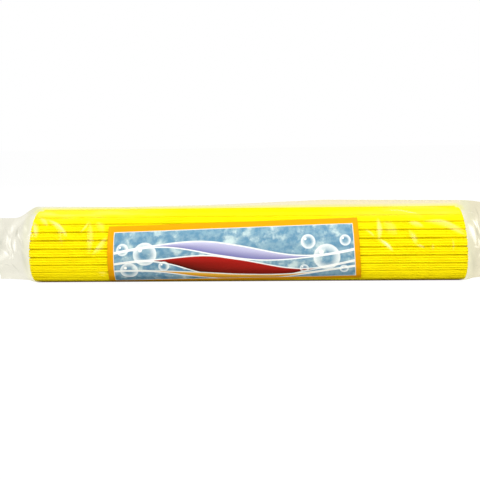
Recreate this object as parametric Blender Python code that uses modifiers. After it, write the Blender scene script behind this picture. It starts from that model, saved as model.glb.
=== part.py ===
"""Ribbed PVA sponge refill for a squeeze mop, packed on its side in a clear film bag with an insert card.

The sponge carries a steel C-rail on its back. Two carriage bolts stand out of the rail, each with a
washer and a wing nut, to clamp the plate of a mop head.

Metres, +Z up. X runs along the sponge, the ribbed crown faces -Y and the rail faces +Y. The origin is
the middle of the package's footprint. Sections are drawn with a depth u behind the crown's tip and a
height h above the sponge's mid-plane.
"""

import math

import bmesh
import bpy
from mathutils import Vector

OBJECT_NAME = "sponge_mop_refill"

# Clearances and thin sheets
GAP = 0.0003
FILM_THICKNESS = 0.0003
CARD_THICKNESS = 0.0003
WRAP_GAP = CARD_THICKNESS + 2 * GAP

# Sponge
SPONGE_LENGTH = 0.380
SPONGE_WIDTH = 0.064
CROWN_DEPTH = 0.024
SIDE_DEPTH = 0.018
HALF_WIDTH = SPONGE_WIDTH / 2
BACK_FACE = CROWN_DEPTH + SIDE_DEPTH

# Ribs: a deep groove every pitch, with two shallow grooves between
RIB_PITCH = 0.0077
RIBS_PER_PITCH = 3
DEEP_GROOVE = 0.0022
SHALLOW_GROOVE = 0.0008
GROOVES_EACH_SIDE = 6
POINTS_PER_RIB = 6

# Backing rail, roll-formed C section
RAIL_WIDTH = 0.030
RAIL_DEPTH = 0.010
RAIL_SHEET = 0.0008
RAIL_LIP = 0.0045
RAIL_BEND = 0.0012
BEND_STEPS = 3
PAD_LENGTH = 0.056
PAD_WIDTH = 0.017
PAD_RISE = 0.0005
PAD_SLOPE = 0.0008
RAIL_FRONT = BACK_FACE + GAP
WEB_BACK = RAIL_FRONT + RAIL_DEPTH
WEB_FRONT = WEB_BACK - RAIL_SHEET

# Neck of the sponge that the rail hooks on
NECK_WIDTH = RAIL_WIDTH - 2 * (RAIL_LIP + GAP)
HEAD_WIDTH = RAIL_WIDTH - 2 * (RAIL_SHEET + GAP)
HEAD_FRONT = RAIL_FRONT + RAIL_SHEET + GAP
HEAD_BACK = WEB_FRONT - GAP
HEAD_ROUND = RAIL_BEND

# M5 fasteners; lengths along the bolt count from the rail's back face
BOLT_SPACING = 0.090
BOLT_RADIUS = 0.0025
BOLT_REACH = 0.016
BOLT_POINT = 0.0006
BOLT_HEAD_RADIUS = 0.0065
BOLT_HEAD_HEIGHT = 0.0030
BOLT_HEAD_RIM = 0.0005
DOME_STEPS = 6
NECK_SQUARE = 0.0055
SQUARE_HOLE = NECK_SQUARE + 2 * GAP
HEAD_POCKET_RADIUS = BOLT_HEAD_RADIUS + 2 * GAP
HEAD_POCKET_DEPTH = BOLT_HEAD_HEIGHT + 2 * GAP
WASHER_RADIUS = 0.0050
WASHER_BORE = 0.00275
WASHER_THICKNESS = 0.0010
WASHER_EDGE = 0.00015
NUT_BASE_RADIUS = 0.0055
NUT_TOP_RADIUS = 0.0045
NUT_BOSS_HEIGHT = 0.0065
NUT_BORE = 0.0028
NUT_BORE_CHAMFER = 0.0004
WING_SPAN = 0.026
WING_TOP = 0.013
WING_ROOT = 0.0012
WING_THICKNESS = 0.0025
WING_EDGE = 0.0005
WING_EAR = 0.0034
WING_ROOT_SHARE = 0.85
WING_DIP = 0.0006
EAR_START = math.radians(-70)
EAR_SWEEP = math.radians(200)
EAR_STEPS = 10
THREAD_PITCH = 0.0008
NUT_TURNS = 7.75
WASHER_SEAT = GAP
NUT_SEAT = WASHER_SEAT + WASHER_THICKNESS + GAP
NUT_TRAVEL = THREAD_PITCH * NUT_TURNS
ROUND_STEPS = 40
CREASE_ANGLE = math.radians(35)

# Insert card, turned a little on the crown: the ends of its top and bottom edges, each as a place along
# the sponge and an arc length over the skin above the crown's tip
CARD_TOP = ((-0.1202, 0.0200), (0.0974, 0.0269))
CARD_BOTTOM = ((-0.1234, -0.0390), (0.1016, -0.0322))
CARD_CELLS_LONG = 14
CARD_CELLS_HIGH = 26

# Film bag: a tube round the refill, tented over the bolts and gathered flat at both ends
BAG_LENGTH = 0.463
BAG_CORNER_ROUND = 0.004
BAG_ROUND_STEPS = 3
SIDE_STEPS = 4
CROWN_STEPS = 4 * (BAG_ROUND_STEPS + 1) + SIDE_STEPS - 3
TENT_HALF_HEIGHT = 0.0155
TENT_DEPTH = WEB_BACK + NUT_SEAT + NUT_TRAVEL + WING_TOP + 3 * GAP
TENT_MARGIN = 0.004
TENT_FLAT_END = BOLT_SPACING / 2 + WING_SPAN / 2 + TENT_MARGIN
TENT_STEPS = 4
END_CLEARANCE = 0.001
BAG_BODY_END = SPONGE_LENGTH / 2 + END_CLEARANCE
RIDGE_DEPTH = 0.030
RIDGE_SLACK = ((-0.191, 0.0030), (-0.110, 0.0018), (-0.020, 0.0034), (0.070, 0.0066), (0.191, 0.0050))
END_STEPS = 9
END_GAP = 0.0008
END_MIDDLE = 0.033
END_PLEATS = 2.5
END_PLEAT_SWING = 0.005
LEFT_PLEAT_PHASE = 1.0
RIGHT_PLEAT_PHASE = 2.2
LEFT_END_HEIGHTS = (0.0012, 0.0605)
RIGHT_END_HEIGHTS = (0.0020, 0.068)
LEFT_END_REACH = 0.022
RIGHT_END_REACH = 0.034
FLOOR_RISE = 0.00006
FLOOR_MIDDLE = 0.0325
FLOOR_HALF = 0.0085

# Where the section's u and h lie in space
MID_HEIGHT = FILM_THICKNESS + WRAP_GAP + HALF_WIDTH
PACKAGE_DEPTH = 2 * FILM_THICKNESS + WRAP_GAP + TENT_DEPTH
CROWN_TIP_Y = FILM_THICKNESS + WRAP_GAP - PACKAGE_DEPTH / 2

YELLOW = (0.91, 0.74, 0.01)
CARD_BLUE = (0.38, 0.60, 0.74)
FILM_CLEAR = (0.95, 0.93, 0.84)
ZINC = (0.62, 0.64, 0.66)
BOLT_ZINC = (0.56, 0.57, 0.58)
NUT_ZINC = (0.66, 0.66, 0.64)


def clear_scene():
    for item in list(bpy.data.objects):
        bpy.data.objects.remove(item, do_unlink=True)


def new_collection(name):
    collection = bpy.data.collections.new(name)
    bpy.context.scene.collection.children.link(collection)
    return collection


def new_material(name, colour, roughness, metallic=0.0, alpha=1.0):
    material = bpy.data.materials.new(name)
    material.use_nodes = True
    shader = material.node_tree.nodes["Principled BSDF"]
    shader.inputs["Base Color"].default_value = (*colour, 1.0)
    shader.inputs["Roughness"].default_value = roughness
    shader.inputs["Metallic"].default_value = metallic
    shader.inputs["Alpha"].default_value = alpha
    material.diffuse_color = (*colour, alpha)
    return material


def new_object(name, data, collection, material=None):
    item = bpy.data.objects.new(name, data)
    collection.objects.link(item)
    if material is not None:
        data.materials.append(material)
    return item


def in_space(x, u, h):
    """A point of the package from its place along the sponge, its depth and its height."""
    return (x, CROWN_TIP_Y + u, MID_HEIGHT + h)


def loft(name, sections, closed, collection, material=None):
    """A surface of quads through sections that hold the same number of points."""
    mesh = bpy.data.meshes.new(name)
    surface = bmesh.new()
    rows = [[surface.verts.new(point) for point in section] for section in sections]
    count = len(rows[0])
    spans = count if closed else count - 1
    for before, after in zip(rows, rows[1:]):
        for i in range(spans):
            j = (i + 1) % count
            surface.faces.new((before[i], before[j], after[j], after[i]))
    bmesh.ops.recalc_face_normals(surface, faces=surface.faces)
    surface.to_mesh(mesh)
    surface.free()
    return new_object(name, mesh, collection, material)


def solidify(item, thickness, offset, even=True):
    shell = item.modifiers.new("thickness", "SOLIDIFY")
    shell.thickness = thickness
    shell.offset = offset
    shell.use_even_offset = even
    return shell


def filled_outline(name, points, thickness, collection):
    """A flat plate from a closed outline, as a mesh whose caps are welded to its sides."""
    curve = bpy.data.curves.new(name, "CURVE")
    curve.dimensions = "2D"
    curve.fill_mode = "BOTH"
    curve.extrude = thickness / 2
    spline = curve.splines.new("POLY")
    spline.points.add(len(points) - 1)
    for spot, (x, y) in zip(spline.points, points):
        spot.co = (x, y, 0.0, 1.0)
    spline.use_cyclic_u = True
    draft = new_object(name + "_outline", curve, collection)
    bpy.context.view_layer.update()
    evaluated = draft.evaluated_get(bpy.context.evaluated_depsgraph_get())
    mesh = bpy.data.meshes.new_from_object(evaluated)
    mesh.name = name
    bpy.data.objects.remove(draft, do_unlink=True)
    welded = bmesh.new()
    welded.from_mesh(mesh)
    bmesh.ops.remove_doubles(welded, verts=welded.verts, dist=1e-6)
    bmesh.ops.recalc_face_normals(welded, faces=welded.faces)
    welded.to_mesh(mesh)
    welded.free()
    return new_object(name, mesh, collection)


def turned(name, profile, collection, material=None):
    """A solid of revolution about Z from a profile of (radius, height) that runs top to bottom."""
    mesh = bpy.data.meshes.new(name)
    line = bmesh.new()
    spots = [line.verts.new((radius, 0.0, height)) for radius, height in profile]
    for a, b in zip(spots, spots[1:]):
        line.edges.new((a, b))
    if profile[0][0] > 0 and profile[-1][0] > 0:
        line.edges.new((spots[-1], spots[0]))
    line.to_mesh(mesh)
    line.free()
    item = new_object(name, mesh, collection, material)
    screw = item.modifiers.new("turn", "SCREW")
    screw.axis = "Z"
    screw.steps = ROUND_STEPS
    screw.render_steps = ROUND_STEPS
    screw.use_merge_vertices = True
    screw.merge_threshold = 0.00001
    screw.use_smooth_shade = True
    return item


def boolean(item, other, operation):
    step = item.modifiers.new(operation.lower(), "BOOLEAN")
    step.operation = operation
    step.solver = "EXACT"
    step.object = other
    other.hide_render = True
    other.display_type = "WIRE"


def box(name, size, centre, collection):
    mesh = bpy.data.meshes.new(name)
    block = bmesh.new()
    bmesh.ops.create_cube(block, size=1.0)
    bmesh.ops.scale(block, vec=size, verts=block.verts)
    bmesh.ops.translate(block, vec=centre, verts=block.verts)
    block.to_mesh(mesh)
    block.free()
    return new_object(name, mesh, collection)


def part_way(start, end, share):
    """The point at a share of the way between two points."""
    return tuple(a + (b - a) * share for a, b in zip(start, end))


def round_corner(before, corner, after, radius, steps):
    """Points of a curve that rounds one corner of an outline."""
    reach_in = math.dist(before, corner)
    reach_out = math.dist(after, corner)
    way_in = ((before[0] - corner[0]) / reach_in, (before[1] - corner[1]) / reach_in)
    way_out = ((after[0] - corner[0]) / reach_out, (after[1] - corner[1]) / reach_out)
    cosine = way_in[0] * way_out[0] + way_in[1] * way_out[1]
    half_angle = math.acos(max(-1.0, min(1.0, cosine))) / 2
    setback = min(radius / math.tan(half_angle), reach_in / 2, reach_out / 2)
    start = (corner[0] + way_in[0] * setback, corner[1] + way_in[1] * setback)
    end = (corner[0] + way_out[0] * setback, corner[1] + way_out[1] * setback)
    points = []
    for i in range(steps + 1):
        t = i / steps
        points.append(part_way(part_way(start, corner, t), part_way(corner, end, t), t))
    return points


def crown_table(steps=600):
    """Arc length and angle along the crown's ellipse, from its tip to its side."""
    table = [(0.0, 0.0)]
    arc = 0.0
    for i in range(steps):
        angle = math.pi / 2 * (i + 0.5) / steps
        slope = math.hypot(HALF_WIDTH * math.cos(angle), CROWN_DEPTH * math.sin(angle))
        arc += slope * math.pi / 2 / steps
        table.append((arc, math.pi / 2 * (i + 1) / steps))
    return table


CROWN_ARC = crown_table()
QUARTER_ARC = CROWN_ARC[-1][0]


def crown_angle(arc):
    """The ellipse's angle at an arc length from the tip, for arcs on the crown."""
    for (low, low_angle), (high, high_angle) in zip(CROWN_ARC, CROWN_ARC[1:]):
        if arc <= high:
            return low_angle + (high_angle - low_angle) * (arc - low) / (high - low)
    return math.pi / 2


def skin_point(arc, lift):
    """Depth and height at an arc length over the sponge's skin, lifted off it; arcs count up from the tip."""
    side = 1 if arc >= 0 else -1
    past = abs(arc) - QUARTER_ARC
    if past > 0:
        return CROWN_DEPTH + past, side * (HALF_WIDTH + lift)
    angle = crown_angle(abs(arc))
    out_h = CROWN_DEPTH * math.sin(angle)
    out_u = HALF_WIDTH * math.cos(angle)
    size = math.hypot(out_h, out_u)
    u = CROWN_DEPTH * (1 - math.cos(angle)) - lift * out_u / size
    h = HALF_WIDTH * math.sin(angle) + lift * out_h / size
    return u, side * h


def rib_depth(arc):
    """How far the ribbed skin lies under the smooth one."""
    rib = RIB_PITCH / RIBS_PER_PITCH
    number = math.floor(arc / rib + 1e-9)
    place = arc / rib - number
    left_deep = number % RIBS_PER_PITCH == 0
    right_deep = (number + 1) % RIBS_PER_PITCH == 0
    deep = left_deep if place < 0.5 else right_deep
    groove = DEEP_GROOVE if deep else SHALLOW_GROOVE
    return groove * (1 - math.sqrt(max(0.0, math.sin(math.pi * place))))


def sponge_outline():
    """Section of the sponge: ribbed crown, plain sides, and a neck with a wider head for the rail."""
    step = RIB_PITCH / RIBS_PER_PITCH / POINTS_PER_RIB
    half_rib = POINTS_PER_RIB // 2
    reach = GROOVES_EACH_SIDE * RIBS_PER_PITCH * POINTS_PER_RIB + half_rib
    skin = [skin_point(i * step, -rib_depth(i * step)) for i in range(-reach, reach + 1)]
    neck = NECK_WIDTH / 2
    head = HEAD_WIDTH / 2
    upper = [(BACK_FACE, HALF_WIDTH), (BACK_FACE, neck), (HEAD_FRONT, neck), (HEAD_FRONT, head)]
    upper += round_corner((HEAD_FRONT, head), (HEAD_BACK, head), (HEAD_BACK, 0.0), HEAD_ROUND, BEND_STEPS)
    lower = [(u, -h) for u, h in reversed(upper)]
    return skin + upper + lower


def make_sponge(parts, cutters):
    body = filled_outline("sponge_body", sponge_outline(), SPONGE_LENGTH, parts)
    body.data.materials.append(new_material("yellow_pva", YELLOW, 0.75))
    for corner in body.data.vertices:
        u, h, x = corner.co
        corner.co = in_space(x, u, h)
    body.data.shade_smooth()
    body.data.set_sharp_from_angle(angle=CREASE_ANGLE)
    for x in bolt_places():
        profile = [(0.0, 0.0), (HEAD_POCKET_RADIUS, 0.0),
                   (HEAD_POCKET_RADIUS, -HEAD_POCKET_DEPTH), (0.0, -HEAD_POCKET_DEPTH)]
        pocket = turned("head_pocket", profile, cutters)
        pocket.location = in_space(x, HEAD_BACK + GAP, 0.0)
        pocket.rotation_euler = (-math.pi / 2, 0.0, 0.0)
        boolean(body, pocket, "DIFFERENCE")


def bolt_places():
    return (-BOLT_SPACING / 2, BOLT_SPACING / 2)


def rail_section(x):
    """Middle line of the rail's sheet, from one lip round the web and its pressed pad to the other."""
    half = RAIL_SHEET / 2
    front = RAIL_FRONT + half
    back = WEB_BACK - half
    side = RAIL_WIDTH / 2 - half
    lip = RAIL_WIDTH / 2 - RAIL_LIP
    pad = back + (PAD_RISE if abs(x) < PAD_LENGTH / 2 else 0.0)
    upper = [(front, lip)]
    upper += round_corner((front, lip), (front, side), (back, side), RAIL_BEND, BEND_STEPS)
    upper += round_corner((front, side), (back, side), (back, 0.0), RAIL_BEND, BEND_STEPS)
    upper += [(back, PAD_WIDTH / 2), (pad, PAD_WIDTH / 2 - PAD_SLOPE), (pad, SQUARE_HOLE / 2)]
    return upper + [(u, -h) for u, h in reversed(upper)]


def rail_stations():
    """Places of the rail's sections: its ends, and the edges of the square holes and of the pad."""
    half = [PAD_LENGTH / 2 - PAD_SLOPE, PAD_LENGTH / 2, SPONGE_LENGTH / 2]
    half += [BOLT_SPACING / 2 - SQUARE_HOLE / 2, BOLT_SPACING / 2 + SQUARE_HOLE / 2]
    return sorted([-x for x in half] + half)


def make_rail(parts):
    sections = [[in_space(x, u, h) for u, h in rail_section(x)] for x in rail_stations()]
    rail = loft("backing_rail", sections, False, parts, new_material("zinc_sheet", ZINC, 0.38, 1.0))
    holes = [Vector(in_space(x, WEB_BACK - RAIL_SHEET / 2, 0.0)) for x in bolt_places()]
    sheet = bmesh.new()
    sheet.from_mesh(rail.data)
    punched = [face for face in sheet.faces
               if any((face.calc_center_median() - hole).length < GAP for hole in holes)]
    bmesh.ops.delete(sheet, geom=punched, context="FACES")
    sheet.to_mesh(rail.data)
    sheet.free()
    solidify(rail, RAIL_SHEET, 0.0)
    rail.data.shade_smooth()
    rail.data.set_sharp_from_angle(angle=CREASE_ANGLE)


def bolt_profile():
    """Chamfered point, plain shank and domed head, top to bottom."""
    seat = -RAIL_SHEET - GAP
    profile = [(0.0, BOLT_REACH), (BOLT_RADIUS - BOLT_POINT, BOLT_REACH),
               (BOLT_RADIUS, BOLT_REACH - BOLT_POINT), (BOLT_RADIUS, seat), (BOLT_HEAD_RADIUS, seat)]
    for i in range(DOME_STEPS):
        angle = math.pi / 2 * i / DOME_STEPS
        profile.append((BOLT_HEAD_RADIUS * math.cos(angle),
                        seat - BOLT_HEAD_RIM - (BOLT_HEAD_HEIGHT - BOLT_HEAD_RIM) * math.sin(angle)))
    profile.append((0.0, seat - BOLT_HEAD_HEIGHT))
    return profile


def make_bolt(side, axis, parts, cutters):
    bolt = turned("carriage_bolt_" + side, bolt_profile(), parts,
                  new_material("zinc_bolt_" + side, BOLT_ZINC, 0.32, 1.0))
    sunk = BOLT_HEAD_HEIGHT / 3
    low = -RAIL_SHEET - GAP - sunk
    high = -GAP / 2
    neck_size = (NECK_SQUARE, NECK_SQUARE, high - low)
    neck = box("square_neck_" + side, neck_size, (0.0, 0.0, (high + low) / 2), cutters)
    neck.parent = axis
    bolt.parent = axis
    boolean(bolt, neck, "UNION")


def make_washer(side, axis, parts):
    low = WASHER_SEAT
    high = WASHER_SEAT + WASHER_THICKNESS
    rim = WASHER_RADIUS - WASHER_EDGE
    profile = [(WASHER_BORE, high), (rim, high), (WASHER_RADIUS, high - WASHER_EDGE),
               (WASHER_RADIUS, low + WASHER_EDGE), (rim, low), (WASHER_BORE, low)]
    metal = new_material("zinc_washer_" + side, ZINC, 0.35, 1.0)
    washer = turned("flat_washer_" + side, profile, parts, metal)
    washer.parent = axis


def wing_outline():
    """Both wings and the web between them, from the side: rounded ears that rise outward from the boss."""
    ear_r = WING_SPAN / 2 - WING_EAR
    ear_h = WING_TOP - WING_EAR
    right = [(NUT_BASE_RADIUS * WING_ROOT_SHARE, WING_ROOT)]
    for i in range(EAR_STEPS + 1):
        angle = EAR_START + EAR_SWEEP * i / EAR_STEPS
        right.append((ear_r + WING_EAR * math.cos(angle), ear_h + WING_EAR * math.sin(angle)))
    right.append((NUT_TOP_RADIUS * WING_ROOT_SHARE, NUT_BOSS_HEIGHT - WING_DIP))
    return right + [(-r, h) for r, h in reversed(right)]


def make_wing_nut(side, axis, parts, cutters):
    profile = [(0.0, NUT_BOSS_HEIGHT), (NUT_TOP_RADIUS - WING_EDGE, NUT_BOSS_HEIGHT),
               (NUT_TOP_RADIUS, NUT_BOSS_HEIGHT - WING_EDGE), (NUT_BASE_RADIUS, WING_EDGE),
               (NUT_BASE_RADIUS - WING_EDGE, 0.0), (0.0, 0.0)]
    nut = turned("wing_nut_" + side, profile, parts, new_material("zinc_nut_" + side, NUT_ZINC, 0.42, 1.0))
    wings = filled_outline("wings_" + side, wing_outline(), WING_THICKNESS, cutters)
    for corner in wings.data.vertices:
        r, h, depth = corner.co
        corner.co = (r, -depth, h)
    rounding = wings.modifiers.new("edge", "BEVEL")
    rounding.width = WING_EDGE
    rounding.segments = 2
    rounding.limit_method = "ANGLE"
    rounding.angle_limit = math.radians(50)
    rim = NUT_BORE + NUT_BORE_CHAMFER
    top = NUT_BOSS_HEIGHT + GAP
    hole = [(0.0, top), (rim + GAP, top), (NUT_BORE, NUT_BOSS_HEIGHT - NUT_BORE_CHAMFER),
            (NUT_BORE, NUT_BORE_CHAMFER), (rim + GAP, -GAP), (0.0, -GAP)]
    bore = turned("nut_bore_" + side, hole, cutters)
    for item in (nut, wings, bore):
        item.parent = axis
        item.location = (0.0, 0.0, NUT_SEAT)
    boolean(nut, wings, "UNION")
    boolean(nut, bore, "DIFFERENCE")


def make_fasteners(parts, cutters):
    for side, x in zip(("left", "right"), bolt_places()):
        axis = bpy.data.objects.new("bolt_axis_" + side, None)
        parts.objects.link(axis)
        axis.location = in_space(x, WEB_BACK, 0.0)
        axis.rotation_euler = (-math.pi / 2, 0.0, 0.0)
        make_bolt(side, axis, parts, cutters)
        make_washer(side, axis, parts)
        make_wing_nut(side, axis, parts, cutters)


def make_card(parts):
    """The card follows the rib tops, so its straight edges are laid out on the unrolled skin."""
    sections = []
    for i in range(CARD_CELLS_LONG + 1):
        bottom = part_way(*CARD_BOTTOM, i / CARD_CELLS_LONG)
        top = part_way(*CARD_TOP, i / CARD_CELLS_LONG)
        section = []
        for j in range(CARD_CELLS_HIGH + 1):
            x, arc = part_way(bottom, top, j / CARD_CELLS_HIGH)
            u, h = skin_point(arc, GAP + CARD_THICKNESS / 2)
            section.append(in_space(x, u, h))
        sections.append(section)
    card = loft("insert_card", sections, False, parts, new_material("card_print", CARD_BLUE, 0.55))
    solidify(card, CARD_THICKNESS, 0.0)
    card.data.shade_smooth()
    card.data.set_sharp_from_angle(angle=CREASE_ANGLE)


def between(pairs, x):
    """Straight-line value at x from a few (x, value) pairs."""
    for (low, low_value), (high, high_value) in zip(pairs, pairs[1:]):
        if x <= high:
            share = max(0.0, (x - low) / (high - low))
            return low_value + (high_value - low_value) * share
    return pairs[-1][1]


def smooth_step(t):
    t = max(0.0, min(1.0, t))
    return t * t * (3 - 2 * t)


def floor_rise(x, u):
    """How far the film's underside is off the floor: a hair, down to nothing at the foot's four corners."""
    along = max(0.0, abs(x) - TENT_FLAT_END) / (BAG_BODY_END - TENT_FLAT_END)
    across = min(1.0, abs(u - FLOOR_MIDDLE) / FLOOR_HALF)
    return FLOOR_RISE * (1 - (along * across) ** 2)


def bag_halves(x):
    """Front and back paths of the film's inside at x, each from the bottom fold up to the top fold."""
    side = HALF_WIDTH + WRAP_GAP
    slope = smooth_step((abs(x) - TENT_FLAT_END) / (SPONGE_LENGTH / 2 - TENT_FLAT_END))
    tent_u = TENT_DEPTH + (WEB_BACK + WRAP_GAP - TENT_DEPTH) * slope
    tent_h = TENT_HALF_HEIGHT + (RAIL_WIDTH / 2 + WRAP_GAP - TENT_HALF_HEIGHT) * slope
    corner_u = BACK_FACE + WRAP_GAP
    slack = between(RIDGE_SLACK, x)
    ridge = (RIDGE_DEPTH, side + slack)
    floor_fold = (RIDGE_DEPTH, -side)
    front = [floor_fold]
    for i in range(CROWN_STEPS + 1):
        angle = math.pi * (i / CROWN_STEPS - 0.5)
        u = CROWN_DEPTH - (CROWN_DEPTH + WRAP_GAP) * math.cos(angle)
        front.append((u, side * math.sin(angle)))
    front.append(ridge)
    back = [(RIDGE_DEPTH + (corner_u - RIDGE_DEPTH) * i / SIDE_STEPS, -side) for i in range(SIDE_STEPS - 1)]
    corners = [(corner_u, -side), (tent_u, -tent_h), (tent_u, tent_h), (corner_u, side)]
    path = [back[-1]] + corners + [ridge]
    for before, corner, after in zip(path, path[1:], path[2:]):
        back += round_corner(before, corner, after, BAG_CORNER_ROUND, BAG_ROUND_STEPS)
    back.append(ridge)
    front = [(u, max(h, floor_rise(x, u) - side)) for u, h in front]
    back = [(u, max(h, floor_rise(x, u) - side)) for u, h in back]
    return front, back


def path_shares(path):
    """Share of a path's length at each of its points."""
    lengths = [0.0]
    for a, b in zip(path, path[1:]):
        lengths.append(lengths[-1] + math.dist(a, b))
    return [length / lengths[-1] for length in lengths]


def gathered(path, levels, x, gap):
    """The path drawn flat into the bag's gathered end, with pleats; levels run from bottom to top."""
    low, high = LEFT_END_HEIGHTS if x < 0 else RIGHT_END_HEIGHTS
    phase = LEFT_PLEAT_PHASE if x < 0 else RIGHT_PLEAT_PHASE
    reach = LEFT_END_REACH if x < 0 else RIGHT_END_REACH
    drop = smooth_step((abs(x) - BAG_BODY_END) / reach)
    share = smooth_step((abs(x) - BAG_BODY_END) / (BAG_LENGTH / 2 - BAG_BODY_END))
    points = []
    for (u, h), level in zip(path, levels):
        pleat = END_PLEAT_SWING * math.sin(2 * math.pi * END_PLEATS * level + phase)
        flat_u = END_MIDDLE + pleat + gap / 2 * math.sin(math.pi * level)
        flat_h = low + (high - low) * level - MID_HEIGHT
        points.append((u + (flat_u - u) * share, h + (flat_h - h) * drop))
    return points


def bag_section(x):
    held = max(-BAG_BODY_END, min(BAG_BODY_END, x))
    front, back = bag_halves(held)
    if abs(x) > BAG_BODY_END:
        levels = [(a + b) / 2 for a, b in zip(path_shares(front), path_shares(back))]
        front = gathered(front, levels, x, -END_GAP)
        back = gathered(back, levels, x, END_GAP)
    ring = front[:-1] + list(reversed(back))[:-1]
    return [in_space(x, u, h) for u, h in ring]


def bag_stations():
    """Places of the bag's sections: close together at the gathered ends, sparse along the body."""
    half = [0.0, BOLT_SPACING / 2 - WING_SPAN / 2, TENT_FLAT_END]
    for i in range(1, TENT_STEPS + 1):
        half.append(TENT_FLAT_END + (BAG_BODY_END - TENT_FLAT_END) * i / TENT_STEPS)
    for i in range(1, END_STEPS + 1):
        half.append(BAG_BODY_END + (BAG_LENGTH / 2 - BAG_BODY_END) * i / END_STEPS)
    return [-x for x in reversed(half[1:])] + half


def make_bag(parts):
    sections = [bag_section(x) for x in bag_stations()]
    bag = loft("bag_film", sections, True, parts, new_material("clear_film", FILM_CLEAR, 0.12, 0.0, 0.25))
    solidify(bag, FILM_THICKNESS, 1.0, even=False)
    bag.data.shade_smooth()


def main():
    clear_scene()
    parts = new_collection(OBJECT_NAME)
    cutters = new_collection(OBJECT_NAME + "_cutters")
    make_sponge(parts, cutters)
    make_rail(parts)
    make_fasteners(parts, cutters)
    make_card(parts)
    make_bag(parts)


main()
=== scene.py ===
"""Looks of a ribbed sponge mop refill in its clear film bag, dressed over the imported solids.

Metres, +Z up. X runs along the sponge, the ribbed crown faces -Y and the steel rail faces +Y.
Sections are drawn with a depth u behind the crown's tip and a height h above the sponge's
mid-plane.
"""

import math
from collections import namedtuple
from contextlib import contextmanager

import bmesh
import bpy
import numpy as np
from mathutils import Matrix, Vector


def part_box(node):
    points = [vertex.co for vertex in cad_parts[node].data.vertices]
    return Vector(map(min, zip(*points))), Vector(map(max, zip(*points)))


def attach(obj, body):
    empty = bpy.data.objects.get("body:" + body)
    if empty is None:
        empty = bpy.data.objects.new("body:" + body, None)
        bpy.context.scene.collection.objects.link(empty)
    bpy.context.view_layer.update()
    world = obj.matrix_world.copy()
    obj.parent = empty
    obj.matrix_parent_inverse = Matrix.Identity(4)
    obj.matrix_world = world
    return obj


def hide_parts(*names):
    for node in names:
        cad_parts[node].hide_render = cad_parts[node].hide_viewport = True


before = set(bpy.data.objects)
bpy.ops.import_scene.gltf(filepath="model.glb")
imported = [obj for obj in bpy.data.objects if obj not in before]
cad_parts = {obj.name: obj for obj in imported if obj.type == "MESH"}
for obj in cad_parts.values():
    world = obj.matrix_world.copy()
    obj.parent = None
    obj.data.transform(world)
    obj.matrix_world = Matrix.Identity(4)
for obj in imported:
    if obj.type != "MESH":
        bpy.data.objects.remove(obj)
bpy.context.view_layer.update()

# Places taken from the solids
SPONGE_LOW, SPONGE_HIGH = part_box("sponge_body")
SPONGE_END = SPONGE_HIGH.x
HALF_WIDTH = (SPONGE_HIGH.z - SPONGE_LOW.z) / 2
MID_HEIGHT = (SPONGE_HIGH.z + SPONGE_LOW.z) / 2
BAG_LOW, BAG_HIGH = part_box("bag_film")
FILM_THICKNESS = 0.0003
WRAP_GAP = 0.0009
CROWN_TIP_Y = BAG_LOW.y + FILM_THICKNESS + WRAP_GAP
CLEARANCE = 0.0003

# Sponge section
CROWN_DEPTH = 0.024
BACK_FACE = 0.042
BACK_EDGE = 0.001
RIB_PITCH = 0.0077
RIBS_PER_PITCH = 3
RIB = RIB_PITCH / RIBS_PER_PITCH
GROOVES_EACH_SIDE = 18
DEEP_GROOVE = 0.0028
DEEP_HALF_WIDTH = 0.00066
SHALLOW_GROOVE = 0.0009
SHALLOW_HALF_WIDTH = 0.00048
GROOVE_SQUARENESS = 2.4
GROOVE_WANDER = 0.00004
RIB_ROUND = 0.00022
RIB_SAMPLES = (0.0, 0.05, 0.10, 0.16, 0.24, 0.36, 0.5, 0.64, 0.76, 0.84, 0.90, 0.95)
SPONGE_STATIONS = 110
SPONGE_EDGE = 0.0006
SPONGE_DOME = 0.0018
SPONGE_DOME_REACH = 0.025
SPONGE_SAG = 0.0024

# Rail
RAIL_WIDTH = 0.030
RAIL_DEPTH = 0.010
RAIL_SHEET = 0.0008
RAIL_LIP = 0.0045
RAIL_BEND = 0.0016
RAIL_EDGE = 0.00012
RAIL_FRONT = BACK_FACE + CLEARANCE
WEB_BACK = RAIL_FRONT + RAIL_DEPTH
PAD_LENGTH = 0.056
PAD_WIDTH = 0.017
PAD_RISE = 0.0005
PAD_SLOPE = 0.0008
SQUARE_HOLE = 0.0061

# Fasteners
BOLT_PLACES = {"left": -0.045, "right": 0.045}
BOLT_RADIUS = 0.0025
BOLT_REACH = 0.016
BOLT_POINT = 0.00096
BOLT_NECK = 0.0055
BOLT_NECK_OVERLAP = 0.0002
BOLT_HEAD_RADIUS = 0.0065
BOLT_HEAD_HEIGHT = 0.0030
BOLT_HEAD_RIM = 0.0005
BOLT_HEAD_BEVEL = 0.0003
BOLT_HEAD_BEVEL_DEPTH = 0.0002
BOLT_POCKET = BOLT_HEAD_RADIUS + 2 * CLEARANCE
POCKET_WALL = 0.0002
THREAD_PITCH = 0.0008
THREAD_DEPTH = 0.00045
THREAD_CREST = 0.12
THREAD_START = 0.0002
THREAD_RUNOUT_START = 0.0012
THREAD_RUNOUT = 0.0016
THREAD_TURN_STEPS = 36
THREAD_PITCH_STEPS = 10
WASHER_RADIUS = 0.0050
WASHER_BORE = 0.00275
WASHER_THICKNESS = 0.0010
WASHER_EDGE = 0.00018
NUT_VOXEL = 0.00022
TURNED_STEPS = 72
MERGE_DISTANCE = 1e-7
SHARP_METAL = math.radians(40)
SHARP_FOLD = math.radians(50)

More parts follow.
